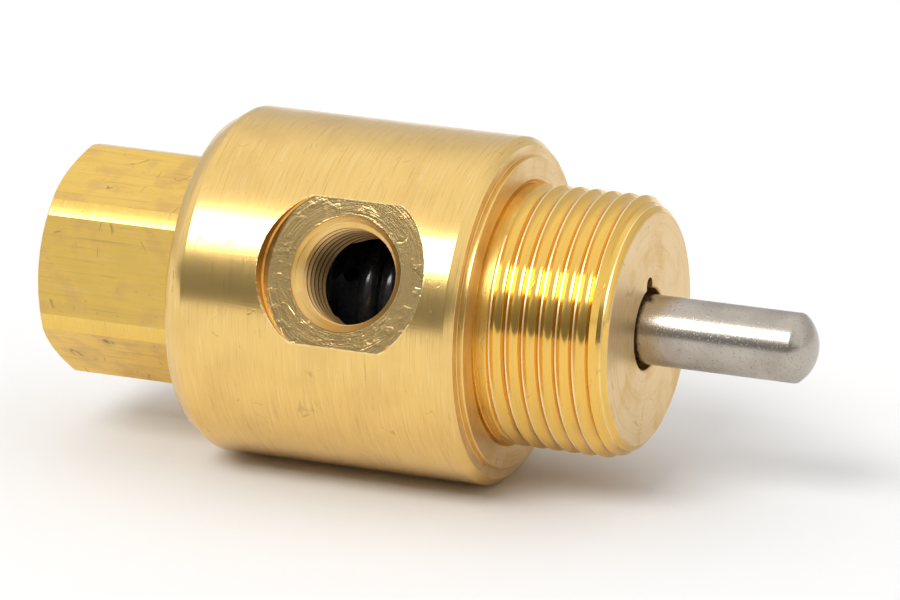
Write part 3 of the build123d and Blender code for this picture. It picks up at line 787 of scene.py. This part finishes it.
def buildPin():
    look = pinLook
    tip = (pinTipX - shoulderX) / mm
    radius, rise = look["radius"], look["domeHeight"]
    sphere = (radius ** 2 + rise ** 2) / (2 * rise)
    reach = math.degrees(math.asin((radius - look["domeEdge"]) / sphere))
    dome = arcPoints((tip - sphere, 0), sphere, 0, reach, 14)
    outline = dome + [
        (tip - rise - 0.06, radius - 0.02), (tip - rise - 0.14, radius),
        (look["grooveFront"], radius), (look["grooveFront"], look["grooveRadius"]),
        (look["grooveRear"], look["grooveRadius"]), (look["grooveRear"], radius),
        (look["shoulder"], radius), (look["shoulder"], look["tenonRadius"]),
        (look["tenonRear"], look["tenonRadius"]), (look["tenonRear"], 0),
    ]
    pin = turnPiece("pushPin", outline, 160)
    smoothPiece(pin, 25)
    return pin


def steelSkin(name, look):
    skin = Skin(name, {"Metallic": 1.0})
    hair = skin.noise(look["fineSize"], 3, (1, 0.04, 0.04))
    pit = skin.ease(skin.noise(0.2, 2), 0.60, 0.70)
    blotch = skin.noise(3.0, 3)
    colour = skin.blend(skin.ease(blotch, 0.4, 0.7) * 0.25, solid(look["tone"]), solid("darkSteel"))
    skin.feed("Base Color", skin.blend(pit * look["pits"], colour, solid("darkSteel")))
    skin.feed("Roughness", look["roughness"] + (blotch - 0.5) * 0.12 + pit * 0.15)
    lines = skin.relief(hair, look["depth"])
    skin.feed("Normal", skin.relief(1 - pit, 0.006, 1.0, lines))
    return skin


pushPin = buildPin()
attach(pushPin, "plunger")
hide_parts("plunger_pin")
pinSkin = steelSkin("pinSkin", {
    "tone": "steel", "fineSize": 0.08, "pits": 0.5, "roughness": 0.25, "depth": 0.006,
})
paint(pushPin, {"ground": pinSkin}, lambda face: "ground")
print("push pin built", len(pushPin.data.polygons))


# return spring
springLook = {"wire": 0.7, "radius": 3.5, "endTurns": 1, "openTurns": 4, "rise": 1.05, "inset": 0.51}


def buildSpring():
    look = springLook
    low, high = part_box("return_spring")
    wire = look["wire"] * mm
    length = high.x - low.x
    endPitch = wire * look["rise"]
    inset = wire * look["inset"]  # from the spring's end to the middle of its wire
    openPitch = (length - 2 * inset - 2 * endPitch) / look["openTurns"]
    start = low.x + inset
    parts = []
    for pitch, turns, place in (
        (endPitch, look["endTurns"], start),
        (openPitch, look["openTurns"], start + endPitch),
        (endPitch, look["endTurns"], start + endPitch + openPitch * look["openTurns"]),
    ):
        clearSelection()
        bpy.ops.mesh.primitive_circle_add(
            vertices=16, radius=wire / 2, location=(0, 0, look["radius"] * mm), rotation=(math.pi / 2, 0, 0),
        )
        coil = bpy.context.object
        applyPlace(coil)
        applyModifier(
            coil, "SCREW", axis="X", angle=2 * math.pi, screw_offset=pitch, iterations=turns,
            steps=48, render_steps=48, use_merge_vertices=True, merge_threshold=0.001 * mm,
        )
        coil.location = (place, 0, axisZ)
        applyPlace(coil)
        parts.append(coil)
    clearSelection()
    for coil in parts:
        coil.select_set(True)
    bpy.context.view_layer.objects.active = parts[0]
    bpy.ops.object.join()
    spring = parts[0]
    spring.name = "coilSpring"
    tidyMesh(spring, 0.01 * mm)
    pick(spring)
    bpy.ops.object.mode_set(mode="EDIT")
    bpy.ops.mesh.select_all(action="DESELECT")
    bpy.ops.mesh.select_non_manifold()
    bpy.ops.mesh.edge_face_add()
    bpy.ops.mesh.select_all(action="SELECT")
    bpy.ops.mesh.normals_make_consistent(inside=False)
    bpy.ops.object.mode_set(mode="OBJECT")
    smoothPiece(spring, 40)
    return spring


coilSpring = buildSpring()
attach(coilSpring, "valve_body")
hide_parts("return_spring")
springSkin = steelSkin("springSkin", {
    "tone": "steel", "fineSize": 0.2, "pits": 0.1, "roughness": 0.25, "depth": 0.002,
})
paint(coilSpring, {"wire": springSkin}, lambda face: "wire")
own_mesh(coilSpring)
print("spring built", len(coilSpring.data.polygons))


# inner pieces keep their CAD shapes
def plainSkin(name, look):
    skin = Skin(name, {"Metallic": look["metallic"]})
    mottle = skin.noise(look["size"], 3)
    share = skin.ease(mottle, 0.35, 0.7)
    skin.feed("Base Color", skin.blend(share, (*look["colour"], 1), (*look["second"], 1)))
    skin.feed("Roughness", look["roughness"] + (mottle - 0.5) * look["variation"])
    skin.feed("Normal", skin.relief(mottle, look["depth"]))
    return skin


innerSkins = {
    "black_rubber": plainSkin("rubberSkin", {
        "metallic": 0.0, "colour": (0.012, 0.012, 0.012), "second": (0.022, 0.021, 0.02),
        "size": 0.5, "roughness": 0.22, "variation": 0.15, "depth": 0.006,
    }),
    "black_plastic": plainSkin("plasticSkin", {
        "metallic": 0.0, "colour": (0.012, 0.012, 0.013), "second": (0.02, 0.02, 0.02),
        "size": 0.7, "roughness": 0.16, "variation": 0.12, "depth": 0.004,
    }),
    "black_anodised": plainSkin("anodisedSkin", {
        "metallic": 0.6, "colour": (0.03, 0.03, 0.032), "second": (0.045, 0.045, 0.05),
        "size": 0.3, "roughness": 0.35, "variation": 0.1, "depth": 0.002,
    }),
    "bronze": brassSkin("bronzeSkin", brassLook(tone="bronze", stainTone="oldBrass", roughness=0.28)),
    "drawn_brass": brassSkin("innerBrass", brassLook(tone="hexBrass", roughness=0.25)),
    "ground_steel": steelSkin("groundSteel", {
        "tone": "steel", "fineSize": 0.1, "pits": 0.1, "roughness": 0.22, "depth": 0.003,
    }),
    "spring_steel": steelSkin("springSteel", {
        "tone": "steel", "fineSize": 0.15, "pits": 0.1, "roughness": 0.28, "depth": 0.003,
    }),
}
innerNodes = {
    "pin_guide": "bronze", "stroke_bumper": "black_rubber", "exhaust_seal": "black_rubber",
    "inlet_seal": "black_rubber", "connector_seal": "black_rubber", "front_cage": "black_plastic",
    "rear_cage": "black_plastic", "spool": "black_anodised", "seal_washer": "ground_steel",
    "disc_spring": "spring_steel", "spring_cup": "spring_steel", "spring_seat": "spring_steel",
    "pin_clip": "spring_steel", "screen_frame": "drawn_brass", "inlet_screen": "spring_steel",
    "screen_snap_ring": "spring_steel",
}
for nodeName, slotName in innerNodes.items():
    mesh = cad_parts[nodeName].data
    mesh.materials.clear()
    mesh.materials.append(innerSkins[slotName].material)
print("inner pieces painted")


# floor and light
floorLook = {"size": 6.0, "colour": 0.78}
skyLook = {
    "level": 0.96, "key": 10.5, "keyLow": (37.0, 40.0), "keyHigh": (61.0, 58.0),
    "keySide": (-0.50, -0.40, 0.0, 0.10),
    "bands": [
        (0.0, 0.22), (14.0, 0.22), (24.0, 0.30), (33.0, 0.42), (40.0, 0.95), (62.0, 1.0),
        (95.0, 1.08), (120.0, 1.08), (142.0, 0.85), (162.0, 0.70), (180.0, 0.70),
    ],
}


def layFloor():
    clearSelection()
    bpy.ops.mesh.primitive_plane_add(size=floorLook["size"], location=(0, 0, 0))
    floor = bpy.context.object
    floor.name = "floor"
    skin = Skin("floorSkin", {"Roughness": 0.75, "Specular IOR Level": 0.15})
    shade = skin.noise(400.0, 1)
    pale = floorLook["colour"]
    dim = pale * 0.99
    skin.feed("Base Color", skin.blend(shade, (pale, pale, pale, 1), (dim, dim, dim, 1)))
    floor.data.materials.append(skin.material)


def lightScene():
    look = skyLook
    world = bpy.data.worlds.new("studio")
    bpy.context.scene.world = world
    world.use_nodes = True
    board = Board(world.node_tree)
    toward = board.node("ShaderNodeTexCoord", {}, {}, "Generated")
    x, y, z = board.split(toward)
    # turn: degrees round the X axis, 0 at the camera's side and 90 overhead
    turn = board.node("ShaderNodeMath", {"operation": "ARCTAN2"}, [z, 0 - y]) * (180 / math.pi)
    top = max(level for place, level in look["bands"])
    bands = board.ramp(turn / 180, [(place / 180, (level / top,) * 3) for place, level in look["bands"]])
    sky = board.node("ShaderNodeRGBToBW", {}, [bands]) * top
    below = board.ease(z, 0.0, -0.01)
    sky = sky * (1 - below) + below
    rise, full, fall, end = look["keySide"]
    patch = board.ease(turn, *look["keyLow"]) * board.ease(turn, *look["keyHigh"])
    patch = patch * board.ease(x, rise, full) * board.ease(x, end, fall)
    strength = (sky + patch * look["key"]) * look["level"]
    background = board.tree.nodes["Background"]
    background.inputs["Color"].default_value = (1, 1, 1, 1)
    board.tree.links.new(strength.socket, background.inputs["Strength"])
    bpy.context.scene.view_settings.view_transform = "Standard"
    bpy.context.scene.view_settings.look = "None"


layFloor()
lightScene()
print("floor and light set")
